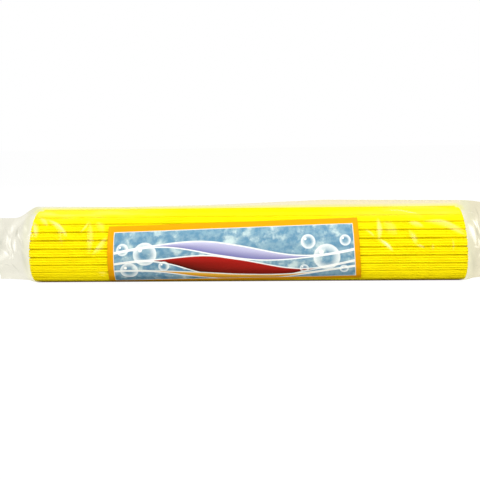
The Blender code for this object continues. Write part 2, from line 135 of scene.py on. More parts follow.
# Insert card: the left and right ends of its edges, each as a place along the sponge and an arc
# over its skin
CARD_TOP = np.array(((-0.1202, 0.0200), (0.0974, 0.0269)))
CARD_BOTTOM = np.array(((-0.1234, -0.0390), (0.1016, -0.0322)))
CARD_LENGTH = (math.dist(*CARD_TOP) + math.dist(*CARD_BOTTOM)) / 2
CARD_HEIGHT = (math.dist(CARD_TOP[0], CARD_BOTTOM[0]) + math.dist(CARD_TOP[1], CARD_BOTTOM[1])) / 2
CARD_THICKNESS = 0.0003
CARD_BORDERS = {"left": 0.0053, "right": 0.0045, "top": 0.0055, "bottom": 0.0044}
CARD_CELLS_LONG = 150
CARD_CELLS_HIGH = 56
CARD_RIB_TELL = 0.00010
CARD_RIPPLE = 0.6

# The card's print, in shares of its length and height
Ribbon = namedtuple("Ribbon", "start level swing width dark bright")
RIBBONS = (
    Ribbon(0.10, 0.33, 0.13, 0.17, (0.06, 0.008, 0.004), (0.42, 0.014, 0.010)),
    Ribbon(0.02, 0.56, 0.12, 0.085, (0.17, 0.17, 0.44), (0.56, 0.56, 0.80)),
    Ribbon(0.18, 0.20, 0.10, 0.050, (0.62, 0.26, 0.01), (0.86, 0.50, 0.06)),
)
RIBBON_TURNS = 0.95

# Bubbles of the print: place across and up the card, and radius in heights of the card
BUBBLES = (
    (0.085, 0.30, 0.13), (0.150, 0.56, 0.17), (0.060, 0.64, 0.085), (0.225, 0.36, 0.075),
    (0.870, 0.42, 0.19), (0.945, 0.66, 0.075), (0.800, 0.66, 0.10), (0.780, 0.25, 0.06),
    (0.935, 0.22, 0.06),
)
BUBBLE_RIM = 0.012

# Film bag along the sponge: a crown, a slack ridge on top and a tent over the bolts
TENT_HALF_HEIGHT = 0.0155
TENT_DEPTH = BAG_HIGH.y - FILM_THICKNESS - CROWN_TIP_Y
TENT_FLAT_END = 0.062
TENT_ROUND = 0.08
RIDGE_DEPTH = 0.030
RIDGE_SLACK_AT = (-0.191, -0.110, -0.020, 0.070, 0.191)
RIDGE_SLACK = (0.0030, 0.0018, 0.0034, 0.0066, 0.0050)
RIDGE_ROOT = 0.0025
RIDGE_SHOULDER = 0.4
BODY_END = SPONGE_END + 0.0028
BAG_END = 0.2315
FILM_STATIONS_BODY = 420
FILM_STATIONS_END = 76
FILM_HALF_POINTS = 150
FILM_FOOT = BAG_LOW.z + 0.0001

# Film bag's gathered ends
LEFT_END = {"low": 0.0012, "high": 0.0590, "phase": 1.0, "reach": 0.022}
RIGHT_END = {"low": 0.0020, "high": 0.0680, "phase": 2.2, "reach": 0.034}
END_OVERLAP = 0.003
END_MIDDLE = 0.033
END_GAP = 0.0008
END_PLEATS = 2.5
END_PLEAT_SWING = 0.006
END_START = 0.187
END_BLEND = 0.016

# Creases and swells of the film
END_CRUMPLE = 0.0004
# Painted light and shade on the ends' facets, then a painted shade over the whole ends
END_FACET_SHADING = 0.30
END_PAINTED_SHADE = 0.05
BACK_CRUMPLE = 0.0010
BACK_CRUMPLE_SHIFT = 0.7
# Painted light and shade on the back's facets
BACK_FACET_SHADING = 0.16
BACK_BLEND = 0.008
BILLOWS = 6
BILLOW_RISE = 0.0009
BILLOW_LENGTHS = (0.014, 0.040)
BILLOW_MIDDLE_SHARE = 0.45

# Short folds scattered near the bag's edges: where they start, then random ranges
STRAY_FOLDS = 14
STRAY_INNER = {-1: 0.2150, 1: 0.2050}
STRAY_MARGIN = 0.004
STRAY_HEIGHT = 0.026
STRAY_HALF_LENGTH = (0.004, 0.009)
# Each stray fold's last range is its painted highlight, or below 0 its painted shade
STRAY_LOOKS = {
    "width": (0.0008, 0.0024), "rise": (0.0002, 0.0008), "lean": (-0.5, 0.5), "sheen": (-0.4, 0.25)}

# A fold's ends, its half width, its painted highlight, or below 0 its painted shade, and the height
# of its crest and its lean to one side
Fold = namedtuple("Fold", "start end width sheen rise lean", defaults=(0.0, 0.0))

# Folds over the sponge, between places along it and arcs over its skin
FOLDS = (
    Fold((-0.1763, 0.0281), (-0.1561, 0.0109), 0.0024, 0.24, 0.0014, 0.45),
    Fold((-0.1672, 0.0248), (-0.1615, 0.0032), 0.0010, 0.05, 0.0004),
    Fold((-0.1377, 0.0266), (-0.1456, 0.0152), 0.0011, 0.14, 0.0008, -0.4),
    Fold((-0.1376, 0.0256), (-0.1386, -0.0048), 0.0032, 0.08, 0.0014, 0.35),
    Fold((-0.1214, 0.0115), (-0.1350, -0.0048), 0.0028, 0.14, 0.0014, -0.45),
    Fold((-0.1312, 0.0245), (-0.1242, 0.0150), 0.0040, 0.06, 0.0006, 0.2),
    Fold((-0.1875, 0.0251), (-0.1839, 0.0103), 0.0028, 0.22, 0.0012, -0.3),
    Fold((-0.1833, 0.0294), (-0.1748, 0.0210), 0.0028, 0.14, 0.0006, 0.2),
    Fold((-0.1325, -0.0225), (-0.1228, -0.0238), 0.0012, 0.12, 0.0010, 0.2),
    Fold((-0.1314, -0.0263), (-0.1249, -0.0257), 0.0010, 0.10, 0.0010, -0.2),
    Fold((-0.1909, 0.0384), (-0.1662, 0.0343), 0.0050, 0.07),
    Fold((-0.1451, 0.0373), (-0.1033, 0.0365), 0.0050, 0.04),
    Fold((0.1152, 0.0258), (0.1157, 0.0053), 0.0026, 0.20, 0.0016, -0.4),
    Fold((0.1157, 0.0062), (0.1277, -0.0041), 0.0018, 0.42, 0.0016, 0.35),
    Fold((0.1039, 0.0148), (0.1123, 0.0079), 0.0010, 0.16, 0.0008, 0.3),
    Fold((0.1196, 0.0219), (0.1303, 0.0094), 0.0055, 0.06, 0.0008, 0.3),
    Fold((0.1415, 0.0145), (0.1481, 0.0009), 0.0028, 0.11, 0.0012, -0.4),
    Fold((0.1473, 0.0017), (0.1550, -0.0017), 0.0013, 0.16, 0.0010, 0.2),
    Fold((0.1410, 0.0207), (0.1545, 0.0170), 0.0028, 0.14, 0.0008, 0.2),
    Fold((0.1548, 0.0224), (0.1890, 0.0123), 0.0034, 0.15, 0.0013, 0.3),
    Fold((0.1724, 0.0177), (0.1898, 0.0090), 0.0022, 0.14, 0.0010, -0.3),
    Fold((0.1172, 0.0356), (0.1558, 0.0244), 0.0048, 0.03, 0.0010, 0.2),
    Fold((0.1779, 0.0074), (0.1788, -0.0045), 0.0009, 0.10, 0.0007, 0.1),
    Fold((0.1609, 0.0033), (0.1618, -0.0043), 0.0009, 0.10, 0.0006, -0.1),
    Fold((0.1096, 0.0375), (0.1856, 0.0359), 0.0050, 0.03),
)

# Folds of the gathered ends, between places along the sponge and heights over its mid-plane
END_FOLDS = (
    Fold((-0.1996, 0.0215), (-0.1936, 0.0142), 0.0042, 0.24, 0.0010, 0.3),
    Fold((-0.2052, 0.0098), (-0.2119, -0.0065), 0.0030, 0.40, 0.0018, 0.4),
    Fold((-0.2120, 0.0108), (-0.2156, -0.0065), 0.0010, 0.55, 0.0010),
    Fold((-0.2156, -0.0056), (-0.2136, -0.0120), 0.0010, 0.50, 0.0008),
    Fold((-0.2065, 0.0171), (-0.1969, 0.0016), 0.0010, 0.55, 0.0010),
    Fold((-0.2052, 0.0207), (-0.2017, 0.0161), 0.0009, 0.45, 0.0006),
    Fold((-0.2153, 0.0199), (-0.2148, 0.0099), 0.0009, 0.40, 0.0006),
    Fold((-0.2043, -0.0002), (-0.2028, -0.0075), 0.0014, 0.25, 0.0006),
    Fold((-0.2196, -0.0129), (-0.2148, -0.0092), 0.0014, 0.25, 0.0006),
    Fold((-0.2072, 0.0171), (-0.2048, 0.0089), 0.0024, -0.80),
    Fold((-0.2030, 0.0120), (-0.1960, 0.0000), 0.0030, -0.40),
    Fold((-0.2105, 0.0105), (-0.2140, -0.0080), 0.0010, -0.50),
    Fold((-0.2000, 0.0010), (-0.1960, -0.0230), 0.0045, -0.40),
    Fold((-0.2160, -0.0140), (-0.2060, -0.0230), 0.0012, -0.40),
    Fold((-0.2240, -0.0170), (-0.2150, -0.0175), 0.0010, -0.35),
    Fold((0.1913, 0.0197), (0.1990, -0.0006), 0.0030, 0.45, 0.0012, -0.2),
    Fold((0.1943, 0.0232), (0.2005, 0.0117), 0.0010, 0.55, 0.0008),
    Fold((0.1977, 0.0240), (0.2032, 0.0038), 0.0010, 0.55, 0.0008),
    Fold((0.1996, 0.0108), (0.2016, -0.0050), 0.0011, 0.60, 0.0008),
    Fold((0.2029, -0.0050), (0.2033, -0.0130), 0.0008, 0.45, 0.0006),
    Fold((0.1963, 0.0003), (0.2024, -0.0024), 0.0010, 0.50, 0.0006),
    Fold((0.1960, 0.0196), (0.2015, 0.0038), 0.0012, -0.70),
    Fold((0.2018, 0.0336), (0.2020, 0.0200), 0.0018, -0.60),
    Fold((0.2018, 0.0108), (0.2041, 0.0038), 0.0012, -0.60),
    Fold((0.1935, -0.0040), (0.1990, -0.0260), 0.0045, -0.40),
    Fold((0.1950, -0.0180), (0.2045, -0.0185), 0.0010, -0.35),
)

# Colours, and with each metal its roughness
WHITE = (1.0, 1.0, 1.0)
SPONGE_YELLOW = (0.89, 0.735, 0.002)
SPONGE_PALE = (0.93, 0.79, 0.003)
SPONGE_GRAIN = (0.84, 0.66, 0.001)
# Painted shade for the sponge's grooves
SPONGE_GROOVE_SHADE = (0.70, 0.595, 0.001)
RAIL_METAL = ((0.60, 0.62, 0.64), 0.30)
BOLT_METAL = ((0.56, 0.56, 0.55), 0.28)
WASHER_METAL = ((0.62, 0.63, 0.62), 0.26)
NUT_METAL = ((0.66, 0.66, 0.63), 0.36)
ZINC_DULL = 0.72
CARD_SKY = (0.115, 0.270, 0.43)
CARD_SKY_PALE = (0.235, 0.395, 0.520)
CARD_CLOUD = (0.56, 0.70, 0.74)
CARD_ORANGE = (0.73, 0.315, 0.001)
CARD_ORANGE_PALE = (0.79, 0.37, 0.001)
CARD_LINE = (0.78, 0.82, 0.80)
CARD_BACK = (0.85, 0.85, 0.82)
RIBBON_EDGE = (0.90, 0.93, 0.96)
BUBBLE_GLOW = (0.93, 0.97, 1.0)
FILM_TINT = (0.985, 0.975, 0.93)
FILM_LEFT_TINT = (0.928, 0.915, 0.848)
FILM_RIGHT_TINT = (0.910, 0.878, 0.755)
# Painted yellow glow of the sponge's light, on the film beside its ends
FILM_GLOW_TINT = (0.915, 0.905, 0.760)
FILM_RIDGE_LEFT_TINT = (0.998, 0.990, 0.93)
FILM_RIDGE_RIGHT_TINT = (0.990, 0.935, 0.77)
# Painted yellow glow on the film just above the sponge's top
FILM_RIDGE_GLOW_TINT = (0.999, 0.990, 0.50)
# Painted shadow where the sponge meets the floor
FILM_FOOT_SHADOW_TINT = (0.36, 0.27, 0.08)
FILM_SHADOW_TINT = (0.45, 0.46, 0.40)
FILM_SHADOW = 0.70
FILM_MILK = (0.97, 0.965, 0.93)

# Heights over which the film's painted yellow glow fades above the sponge's top, and its painted
# shadow fades out above its foot
RIDGE_GLOW = 0.0035
FOOT_DARK = 0.0014
FOOT_CLEAR = 0.0034

# Camera, fitted to the photograph
CAMERA_DISTANCE = 0.750
CAMERA_AZIMUTH = math.radians(3.41)
CAMERA_ELEVATION = math.radians(6.68)
CAMERA_ROLL = math.radians(-0.861)
CAMERA_LENS_MM = 64.6
CAMERA_TARGET = Vector((-0.00434, -0.03655, 0.04042))

# Studio
ROOM_AMBIENT = 0.28
ROOM_DIM = 0.02
ROOM_SIDES = 1.6
ROOM_BEHIND = 0.95
FLOOR_HALF_SIZE = 12.0
FLOOR_GLOW = 0.975
FLOOR_MIRRORED = 0.6
FLOOR_PAINT = 0.34
FLOOR_SHADE = 0.065

SEED = 7


def in_space(x, u, h):
    """Points of the package from places along the sponge, depths and heights."""
    x, u, h = np.broadcast_arrays(x, u, h)
    return np.stack([x, CROWN_TIP_Y + u, MID_HEIGHT + h], axis=-1)


def smooth_step(t):
    t = np.clip(t, 0.0, 1.0)
    return t * t * (3 - 2 * t)


def part_way(start, end, share):
    return start + (end - start) * share


def waves(x, rng, lengths, sizes):
    """A smooth irregular curve: sines of a few wavelengths with random phases."""
    total = np.zeros_like(np.asarray(x, float))
    for length, size in zip(lengths, sizes):
        total = total + size * np.sin(2 * np.pi * x / length + rng.uniform(0, 2 * np.pi))
    return total


def new_object(name, data):
    item = bpy.data.objects.new(name, data)
    bpy.context.scene.collection.objects.link(item)
    return item


def grid_object(name, points, closed=False, uv=None):
    """A smooth mesh of quads over a grid of points; closed joins the last column to the first."""
    rows, columns = points.shape[:2]
    spans = columns if closed else columns - 1
    faces = []
    for row in range(0, (rows - 1) * columns, columns):
        for c in range(spans):
            d = (c + 1) % columns
            faces.append((row + c, row + d, row + columns + d, row + columns + c))
    mesh = bpy.data.meshes.new(name)
    mesh.from_pydata(points.reshape(-1, 3).tolist(), [], faces)
    if uv is not None:
        layer = mesh.uv_layers.new(name="print")
        corners = np.array([loop.vertex_index for loop in mesh.loops])
        layer.data.foreach_set("uv", uv.reshape(-1, 2)[corners].astype(np.float32).ravel())
    mesh.shade_smooth()
    mesh.update()
    return new_object(name, mesh)


def mark(mesh, name, values):
    """Store one value for each vertex under a name that a material can read."""
    layer = mesh.attributes.new(name, "FLOAT", "POINT")
    layer.data.foreach_set("value", np.asarray(values, np.float32).ravel())


@contextmanager
def edited(mesh):
    """A mesh opened for editing, and closed again with its faces turned outward."""
    work = bmesh.new()
    work.from_mesh(mesh)
    yield work
    bmesh.ops.recalc_face_normals(work, faces=work.faces)
    work.to_mesh(mesh)
    work.free()


def face_outward(mesh):
    with edited(mesh):
        pass


def set_up(thing, settings):
    for name, value in settings.items():
        setattr(thing, name, value)


def modify(item, kind, **settings):
    set_up(item.modifiers.new(kind.lower(), kind), settings)


def apply_modifiers(item):
    """Replace the object's mesh by its evaluated one, shaded smooth."""
    bpy.context.view_layer.update()
    evaluated = item.evaluated_get(bpy.context.evaluated_depsgraph_get())
    mesh = bpy.data.meshes.new_from_object(evaluated)
    item.modifiers.clear()
    item.data = mesh
    mesh.shade_smooth()


def dress(item, material, slot, body, *nodes):
    item.data.materials.clear()
    item.data.materials.append(material)
    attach(item, body)
    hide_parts(*nodes)


# Crown of the sponge: an ellipse measured by arc length from its tip
CROWN_ANGLES = np.linspace(0.0, np.pi / 2, 2001)
CROWN_SPEEDS = np.hypot(HALF_WIDTH * np.cos(CROWN_ANGLES), CROWN_DEPTH * np.sin(CROWN_ANGLES))
CROWN_STEPS = (CROWN_SPEEDS[1:] + CROWN_SPEEDS[:-1]) / 2 * np.diff(CROWN_ANGLES)
CROWN_ARCS = np.concatenate([[0.0], np.cumsum(CROWN_STEPS)])
QUARTER_ARC = CROWN_ARCS[-1]


def skin_point(arc, lift):
    """Depth and height at arc lengths over the sponge's skin, lifted off it.

    Positive arcs lie above the crown's tip.
    """
    arc, lift = np.broadcast_arrays(np.asarray(arc, float), lift)
    side = np.sign(arc) + (arc == 0)
    past = np.maximum(np.abs(arc) - QUARTER_ARC, 0.0)
    angle = np.interp(np.abs(arc), CROWN_ARCS, CROWN_ANGLES)
    out_h = CROWN_DEPTH * np.sin(angle)
    out_u = HALF_WIDTH * np.cos(angle)
    size = np.hypot(out_h, out_u)
    u = CROWN_DEPTH * (1 - np.cos(angle)) - lift * out_u / size + past
    h = HALF_WIDTH * np.sin(angle) + lift * out_h / size
    return u, side * h


def rib_arcs():
    """Arc lengths that sample every rib closely at its grooves."""
    ribs = np.arange(-GROOVES_EACH_SIDE, GROOVES_EACH_SIDE)[:, None]
    return np.append((ribs + np.array(RIB_SAMPLES)) * RIB, GROOVES_EACH_SIDE * RIB)


def rib_depth(arc, x, rng):
    """How far the ribbed skin lies under the smooth one, with grooves that wander a little."""
    depth = np.zeros(np.broadcast_shapes(arc.shape, x.shape))
    for groove in range(-GROOVES_EACH_SIDE, GROOVES_EACH_SIDE + 1):
        deep = groove % RIBS_PER_PITCH == 0
        size = DEEP_GROOVE if deep else SHALLOW_GROOVE
        width = DEEP_HALF_WIDTH if deep else SHALLOW_HALF_WIDTH
        shift = waves(x, rng, (0.21, 0.083, 0.031), (0.6, 0.4, 0.25)) * GROOVE_WANDER
        strength = 1 + waves(x, rng, (0.15, 0.047, 0.019), (0.14, 0.12, 0.08))
        place = (arc - groove * RIB - shift) / width
        depth += size * strength * np.exp(-np.abs(place) ** GROOVE_SQUARENESS)
    share = arc / RIB - np.floor(arc / RIB)
    return depth + RIB_ROUND * (2 * share - 1) ** 2


def sponge_stations():
    """Places along the sponge, closer at its rounded end edges and at the bolt heads' pockets."""
    body = np.linspace(-SPONGE_END + SPONGE_EDGE, SPONGE_END - SPONGE_EDGE, SPONGE_STATIONS)
    turns = np.linspace(0.0, np.pi / 2, 5)[1:]
    edge = SPONGE_END - SPONGE_EDGE + SPONGE_EDGE * np.sin(turns)
    pockets = []
    for place in BOLT_PLACES.values():
        for reach in (BOLT_POCKET, BOLT_POCKET + POCKET_WALL):
            pockets += [place - reach, place + reach]
    return np.sort(np.concatenate([-edge, body, edge, pockets]))


def neck_section(x):
    """Depths and heights of the neck and head that the rail hooks on, sunk at the bolt heads."""
    neck = RAIL_WIDTH / 2 - RAIL_LIP - CLEARANCE
    head = RAIL_WIDTH / 2 - RAIL_SHEET - CLEARANCE
    head_front = RAIL_FRONT + RAIL_SHEET + CLEARANCE
    head_back = WEB_BACK - RAIL_SHEET - CLEARANCE
    upper = [
        (BACK_FACE - BACK_EDGE, HALF_WIDTH), (BACK_FACE, HALF_WIDTH - BACK_EDGE),
        (BACK_FACE, neck), (head_front, neck), (head_front, head), (head_back, head),
        (head_back, BOLT_POCKET), (head_back, BOLT_POCKET - POCKET_WALL)]
    outline = np.array(upper + [(u, -h) for u, h in reversed(upper)])
    u = np.repeat(outline[None, :, 0], len(x), axis=0)
    h = np.repeat(outline[None, :, 1], len(x), axis=0)
    middle = np.abs(outline[:, 1]) < BOLT_POCKET - POCKET_WALL / 2
    for place in BOLT_PLACES.values():
        sunk = np.abs(x[:, 0] - place) < BOLT_POCKET + POCKET_WALL / 2
        u[np.ix_(sunk, middle)] -= BOLT_HEAD_HEIGHT + CLEARANCE
    return u, h


def make_sponge(rng):
    """The ribbed body with its neck and head for the rail, one loft along X with capped ends."""
    x = sponge_stations()[:, None]
    arcs = rib_arcs()[None, :]
    depth = rib_depth(arcs, x, rng)
    crown_u, crown_h = skin_point(arcs, -depth)
    neck_u, neck_h = neck_section(x)
    u = np.concatenate([crown_u, neck_u], axis=1)
    h = np.concatenate([crown_h, neck_h], axis=1)
    past = np.maximum(np.abs(x) - SPONGE_END + SPONGE_EDGE, 0)
    inset = SPONGE_EDGE - np.sqrt(np.maximum(SPONGE_EDGE ** 2 - past ** 2, 0))
    middle_u = BACK_FACE / 2
    u = u + np.clip(middle_u - u, -1, 1) * inset / middle_u
    h = h * (1 - inset / HALF_WIDTH)
    swell = smooth_step((np.abs(x) - SPONGE_END + SPONGE_DOME_REACH) / SPONGE_DOME_REACH)
    bulge = SPONGE_DOME * np.clip(1 - u / CROWN_DEPTH, 0.0, 1.0) - SPONGE_SAG * h / HALF_WIDTH
    sponge = grid_object("sponge", in_space(x + np.sign(x) * swell * bulge, u, h), closed=True)
    # Groove depths, which the material reads to paint shade into the grooves
    mark(sponge.data, "groove", np.concatenate([depth / DEEP_GROOVE, 0.0 * neck_u], axis=1))
    columns = u.shape[1]
    with edited(sponge.data) as work:
        work.verts.ensure_lookup_table()
        for first in (0, (len(x) - 1) * columns):
            cap = work.faces.new([work.verts[first + i] for i in range(columns)])
            cap.smooth = False
    sponge.data.set_sharp_from_angle(angle=SHARP_FOLD)
    dress(sponge, sponge_material(), "sponge", "refill", "sponge_body")


def arc_corner(before, corner, after, radius, steps=7):
    """Points of an arc that rounds one right-angled corner of a section."""
    before, corner, after = (np.array(p) for p in (before, corner, after))
    way_in = (before - corner) / np.linalg.norm(before - corner)
    way_out = (after - corner) / np.linalg.norm(after - corner)
    centre = corner + (way_in + way_out) * radius
    return [tuple(centre - radius * (way_out * math.cos(a) + way_in * math.sin(a)))
            for a in np.linspace(0.0, np.pi / 2, steps + 1)]


def rail_section(x):
    """Middle line of the rail's sheet, from one lip round the web and its pad to the other."""
    half = RAIL_SHEET / 2
    front = RAIL_FRONT + half
    back = WEB_BACK - half
    side = RAIL_WIDTH / 2 - half
    lip = RAIL_WIDTH / 2 - RAIL_LIP
    pad = back + (PAD_RISE if abs(x) < PAD_LENGTH / 2 else 0.0)
    upper = [(front, lip)]
    upper += arc_corner((front, lip), (front, side), (back, side), RAIL_BEND - half)
    upper += arc_corner((front, side), (back, side), (back, 0.0), RAIL_BEND - half)
    upper += [(back, PAD_WIDTH / 2), (pad, PAD_WIDTH / 2 - PAD_SLOPE), (pad, SQUARE_HOLE / 2)]
    return np.array(upper + [(u, -h) for u, h in reversed(upper)])


def make_rail():
    """The rolled rail: its section swept along X, square holes punched, sheet and edges added."""
    hole = BOLT_PLACES["right"]
    reaches = [PAD_LENGTH / 2 - PAD_SLOPE, PAD_LENGTH / 2, SPONGE_END]
    reaches += [hole - SQUARE_HOLE / 2, hole + SQUARE_HOLE / 2]
    stations = np.array(sorted([-x for x in reaches] + reaches))
    sections = np.array([rail_section(x) for x in stations])
    points = in_space(stations[:, None], sections[..., 0], sections[..., 1])
    rail = grid_object("zinc_rail", points)
    holes = [Vector(in_space(x, WEB_BACK - RAIL_SHEET / 2, 0.0)) for x in BOLT_PLACES.values()]
    with edited(rail.data) as work:
        punched = [face for face in work.faces
                   if min((face.calc_center_median() - hole).length for hole in holes) < CLEARANCE]
        bmesh.ops.delete(work, geom=punched, context="FACES")
    modify(rail, "SOLIDIFY", thickness=RAIL_SHEET, offset=0.0, use_even_offset=True)
    modify(rail, "BEVEL", width=RAIL_EDGE, segments=2, limit_method="ANGLE", angle_limit=SHARP_FOLD)
    apply_modifiers(rail)
    rail.data.set_sharp_from_angle(angle=SHARP_METAL)
    metal = zinc_material("zinc_rail_metal", *RAIL_METAL)
    dress(rail, metal, "rail_steel", "refill", "backing_rail")


def round_y(radius, along, angles):
    """Points round the Y axis at radii, places along it and angles."""
    return np.stack([radius * np.cos(angles), along + 0 * angles, radius * np.sin(angles)], axis=-1)


def turned(name, profile):
    """A solid of revolution about +Y from (radius, depth) points; radius 0 closes an end."""
    angles = np.linspace(0.0, 2 * np.pi, TURNED_STEPS, endpoint=False)[:, None]
    profile = np.array(profile)
    points = round_y(profile[None, :, 0], profile[None, :, 1], angles)
    item = grid_object(name, np.concatenate([points, points[:1]]), closed=profile[0, 0] > 0)
    with edited(item.data) as work:
        bmesh.ops.remove_doubles(work, verts=work.verts, dist=MERGE_DISTANCE)
    item.data.shade_smooth()
    item.data.set_sharp_from_angle(angle=SHARP_METAL)
    return item


def place_on_bolt(item, x):
    item.data.transform(Matrix.Translation(Vector(in_space(x, WEB_BACK, 0.0))))


def threaded_shank():
    """A bolt's shank with a helical thread, from the rail's back face to its chamfered point."""
    along = np.arange(THREAD_START, BOLT_REACH, THREAD_PITCH / THREAD_PITCH_STEPS)[None, :]
    angles = np.linspace(0.0, 2 * np.pi, THREAD_TURN_STEPS, endpoint=False)[:, None]
    phase = along / THREAD_PITCH - angles / (2 * np.pi)
    ramp = np.abs(2 * (phase - np.floor(phase)) - 1)
    flank = np.clip((ramp - THREAD_CREST) / (1 - 2 * THREAD_CREST), 0.0, 1.0)
    runout = smooth_step((along - THREAD_RUNOUT_START) / THREAD_RUNOUT)
    radius = BOLT_RADIUS - THREAD_DEPTH * flank * runout
    point = BOLT_RADIUS - np.maximum(along - (BOLT_REACH - BOLT_POINT), 0.0)
    shaft = round_y(np.minimum(radius, point), along, angles)
    return np.concatenate([shaft, shaft[:1]])


def bolt_head(seat):
    """The domed head of a carriage bolt, on the rail's inner side."""
    rim = seat - BOLT_HEAD_RIM
    rise = BOLT_HEAD_HEIGHT - BOLT_HEAD_RIM
    dome = [(BOLT_HEAD_RADIUS * math.cos(a), rim - rise * math.sin(a))
            for a in np.linspace(0.0, np.pi / 2, 12)]
    profile = [
        (0.0, seat), (BOLT_HEAD_RADIUS - BOLT_HEAD_BEVEL, seat),
        (BOLT_HEAD_RADIUS, seat - BOLT_HEAD_BEVEL_DEPTH), *dome[:-1], (0.0, dome[-1][1])]
    return turned("bolt_head", profile)


def make_bolt(side, x):
    """A carriage bolt: threaded shank, square neck and domed head."""
    bolt = grid_object("bolt_" + side, threaded_shank())
    seat = -RAIL_SHEET - CLEARANCE
    head = bolt_head(seat)
    neck_depth = RAIL_SHEET + CLEARANCE + 2 * BOLT_NECK_OVERLAP
    with edited(bolt.data) as work:
        bmesh.ops.remove_doubles(work, verts=work.verts, dist=MERGE_DISTANCE)
        bmesh.ops.holes_fill(work, edges=work.edges, sides=0)
        neck = bmesh.ops.create_cube(work, size=1.0)["verts"]
        bmesh.ops.scale(work, vec=(BOLT_NECK, neck_depth, BOLT_NECK), verts=neck)
        bmesh.ops.translate(work, vec=(0.0, (seat + BOLT_NECK_OVERLAP) / 2, 0.0), verts=neck)
        work.from_mesh(head.data)
    bpy.data.objects.remove(head, do_unlink=True)
    bolt.data.shade_smooth()
    bolt.data.set_sharp_from_angle(angle=SHARP_METAL)
    place_on_bolt(bolt, x)
    metal = zinc_material("zinc_bolt_metal_" + side, *BOLT_METAL)
    dress(bolt, metal, "fastener_steel", "refill", "carriage_bolt_" + side)


def make_washer(side, x):
    """A flat washer with rounded edges."""
    low = CLEARANCE
    high = CLEARANCE + WASHER_THICKNESS
    outer = WASHER_RADIUS - WASHER_EDGE
    bore = WASHER_BORE + WASHER_EDGE
    corners = ((outer, high - WASHER_EDGE, 90), (outer, low + WASHER_EDGE, 0),
               (bore, low + WASHER_EDGE, 270), (bore, high - WASHER_EDGE, 180))
    profile = []
    for radius, along, start in corners:
        for a in np.radians(np.linspace(start, start - 90, 4)):
            profile.append((radius + WASHER_EDGE * math.cos(a), along + WASHER_EDGE * math.sin(a)))
    washer = turned("washer_" + side, profile)
    place_on_bolt(washer, x)
    metal = zinc_material("zinc_washer_metal_" + side, *WASHER_METAL)
    dress(washer, metal, "fastener_steel", "washer_" + side, "flat_washer_" + side)


def make_wing_nut(side):
    """A cast wing nut: the solid remeshed finely and smoothed, so its wings flow into the boss."""
    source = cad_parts["wing_nut_" + side]
    nut = new_object("wing_nut_cast_" + side, source.data.copy())
    modify(nut, "WELD", merge_threshold=0.00001)
    modify(nut, "REMESH", mode="VOXEL", voxel_size=NUT_VOXEL)
    modify(nut, "SMOOTH", factor=0.5, iterations=6)
    apply_modifiers(nut)
    metal = zinc_material("zinc_nut_metal_" + side, *NUT_METAL)
    dress(nut, metal, "fastener_steel", "nut_" + side, "wing_nut_" + side)


def make_card(rng):
    """The printed card on the rib tops, laid out between its edges on the unrolled skin."""
    along = np.linspace(0.0, 1.0, CARD_CELLS_LONG + 1)[:, None]
    up = np.linspace(0.0, 1.0, CARD_CELLS_HIGH + 1)[None, :]
    top = part_way(CARD_TOP[0], CARD_TOP[1], along)
    bottom = part_way(CARD_BOTTOM[0], CARD_BOTTOM[1], along)
    x = part_way(bottom[:, :1], top[:, :1], up)
    arc = part_way(bottom[:, 1:], top[:, 1:], up)
    ribs = np.cos(2 * np.pi * arc / RIB_PITCH) * CARD_RIB_TELL
    ripple = waves(x, rng, (0.09, 0.041, 0.023), (0.5, 0.3, 0.2)) * CARD_RIB_TELL
    u, h = skin_point(arc, CLEARANCE + CARD_THICKNESS / 2 - ribs + ripple * CARD_RIPPLE)
    share = np.stack(np.broadcast_arrays(along, up), axis=-1)
    card = grid_object("printed_card", in_space(x, u, h), uv=share)
    face_outward(card.data)
    modify(card, "SOLIDIFY", thickness=CARD_THICKNESS / 2, offset=0.0)
    apply_modifiers(card)
    card.data.set_sharp_from_angle(angle=math.radians(60))
    dress(card, card_material(), "card", "refill", "insert_card")


def rounded(path, passes=3):
    """A path with its corners cut smooth; its ends stay."""
    for _ in range(passes):
        cut = np.empty((2 * len(path), 2))
        cut[0] = path[0]
        cut[1:-1:2] = 0.75 * path[:-1] + 0.25 * path[1:]
        cut[2:-1:2] = 0.25 * path[:-1] + 0.75 * path[1:]
        cut[-1] = path[-1]
        path = cut
    return path


def evenly(path, count):
    """The path resampled to evenly spaced points."""
    lengths = np.concatenate([[0.0], np.cumsum(np.hypot(*np.diff(path, axis=0).T))])
    wanted = np.linspace(0.0, lengths[-1], count)
    return np.stack([np.interp(wanted, lengths, part) for part in path.T], axis=-1)


